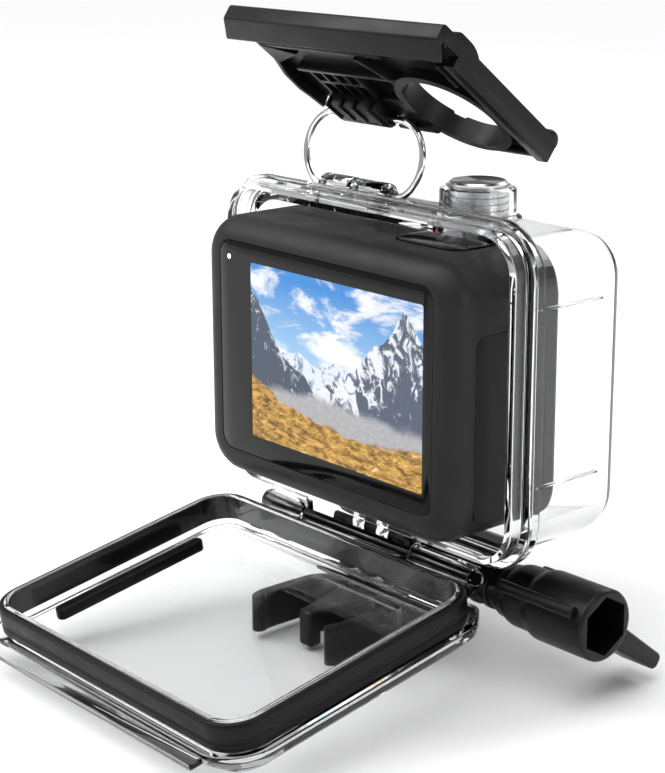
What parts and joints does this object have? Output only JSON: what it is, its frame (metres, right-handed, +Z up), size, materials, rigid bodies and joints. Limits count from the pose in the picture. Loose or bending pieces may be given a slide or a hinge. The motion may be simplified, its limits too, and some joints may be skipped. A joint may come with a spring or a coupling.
{
  "type": "action camera",
  "caption": "Action camera sliding out of a clear dive housing with a hinged rear door, a wire-bail top latch and a quick-release buckle on a clamp screw.",
  "frame": {"origin": "on the buckle's flat base, straight under the clamp screw's axis, in the middle plane", "axes": "+X right seen from behind, +Y towards the lens, +Z up"},
  "size_m": [0.0918, 0.0924, 0.1133],
  "materials": {
    "clear_case": "clear polished polycarbonate",
    "black_plastic": "satin black moulded plastic",
    "camera_shell": "dark grey soft-touch plastic",
    "gloss_black": "gloss black",
    "screen": null,
    "status_white": "small lit lamp",
    "red_mark": "red dot",
    "lens_glass": "coated lens glass",
    "rubber": "black silicone",
    "brushed_steel": "brushed stainless steel",
    "dark_pin": "blackened steel pin",
    "chrome_wire": "bright polished wire",
    "circuit": "green circuit board",
    "contacts": "gold-plated contacts",
    "cell": "wrapped cell"
  },
  "bodies": {
    "housing": {"housing_shell": "clear_case", "bail_bracket": "clear_case", "lens_port_ring": "black_plastic", "lens_port_window": "clear_case", "lens_port_seal": "rubber", "lens_port_screws": "brushed_steel", "plunger_bush": "brushed_steel", "side_plunger_bush": "brushed_steel", "hinge_pin": "dark_pin"},
    "camera": {"camera_body": "camera_shell", "camera_front_plate": "camera_shell", "camera_front_screws": "brushed_steel", "rear_glass": "gloss_black", "screen_panel": "screen", "status_light": "status_white", "lens_surround": "black_plastic", "lens_cover_glass": "lens_glass", "lens_barrel": "black_plastic", "image_sensor": "circuit", "main_board": "circuit", "processor_shield": "brushed_steel", "battery": "cell", "battery_contacts": "contacts", "speaker": "cell", "usb_port": "brushed_steel", "memory_card": "circuit", "side_door": "black_plastic", "side_door_seal": "rubber", "shutter_dome": "brushed_steel", "mode_dome": "brushed_steel"},
    "shutter_key": {"shutter_button": "gloss_black", "shutter_mark": "red_mark"},
    "mode_key": {"mode_button": "black_plastic"},
    "top_plunger": {"shutter_plunger": "brushed_steel", "plunger_clip": "brushed_steel", "plunger_seal": "rubber", "plunger_spring": "brushed_steel"},
    "mode_plunger": {"side_plunger": "brushed_steel", "side_plunger_clip": "brushed_steel", "side_plunger_seal": "rubber", "side_plunger_spring": "brushed_steel"},
    "door": {"door_panel": "clear_case", "door_gasket": "rubber", "door_pads": "rubber"},
    "bail": {"bail_wire": "chrome_wire"},
    "latch": {"latch_lever": "black_plastic", "latch_clip": "black_plastic"},
    "mount_buckle": {"buckle": "black_plastic", "clamp_nut": "brushed_steel"},
    "clamp_screw": {"thumb_screw": "black_plastic", "clamp_shaft": "brushed_steel"}
  },
  "joints": [
    {"name": "door_hinge", "type": "hinge", "parent": "housing", "child": "door", "pos_m": [0, -0.0086, 0.019], "axis": [1, 0, 0], "range_deg": [-100.25, 0]},
    {"name": "camera_slide", "type": "slide", "parent": "housing", "child": "camera", "axis": [0, 1, 0], "range_m": [0, 0.0094]},
    {"name": "bail_hinge", "type": "hinge", "parent": "housing", "child": "bail", "pos_m": [0, -0.002, 0.0801], "axis": [1, 0, 0], "range_deg": [-65, 5]},
    {"name": "latch_hinge", "type": "hinge", "parent": "bail", "child": "latch", "pos_m": [0, 0.00063, 0.09365], "axis": [1, 0, 0], "range_deg": [-9, 108]},
    {"name": "shutter_plunger_press", "type": "slide", "parent": "housing", "child": "top_plunger", "axis": [0, 0, -1], "range_m": [0, 0.001], "stiffness_N_per_m": 350, "deforming": ["plunger_spring"]},
    {"name": "shutter_key_press", "type": "slide", "parent": "camera", "child": "shutter_key", "axis": [0, 0, -1], "range_m": [0, 0.0008], "stiffness_N_per_m": 300, "deforming": ["shutter_dome"]},
    {"name": "mode_plunger_press", "type": "slide", "parent": "housing", "child": "mode_plunger", "axis": [1, 0, 0], "range_m": [0, 0.0008], "stiffness_N_per_m": 300},
    {"name": "mode_key_press", "type": "slide", "parent": "camera", "child": "mode_key", "axis": [1, 0, 0], "range_m": [0, 0.0006], "stiffness_N_per_m": 200},
    {"name": "buckle_tilt", "type": "hinge", "parent": "housing", "child": "mount_buckle", "pos_m": [0, 0, 0.0148], "axis": [1, 0, 0], "range_deg": [0, 75]},
    {"name": "clamp_screw_turn", "type": "hinge", "parent": "mount_buckle", "child": "clamp_screw", "pos_m": [0, 0, 0.0148], "axis": [1, 0, 0], "continuous": true}
  ],
  "couplings": [
    {"joint": "camera_slide", "follows": "door_hinge", "m_per_rad": -0.0053697},
    {"joint": "latch_hinge", "follows": "bail_hinge", "ratio": -1.646},
    {"joint": "shutter_key_press", "follows": "shutter_plunger_press", "ratio": 0.8},
    {"joint": "mode_key_press", "follows": "mode_plunger_press", "ratio": 0.6}
  ]
}
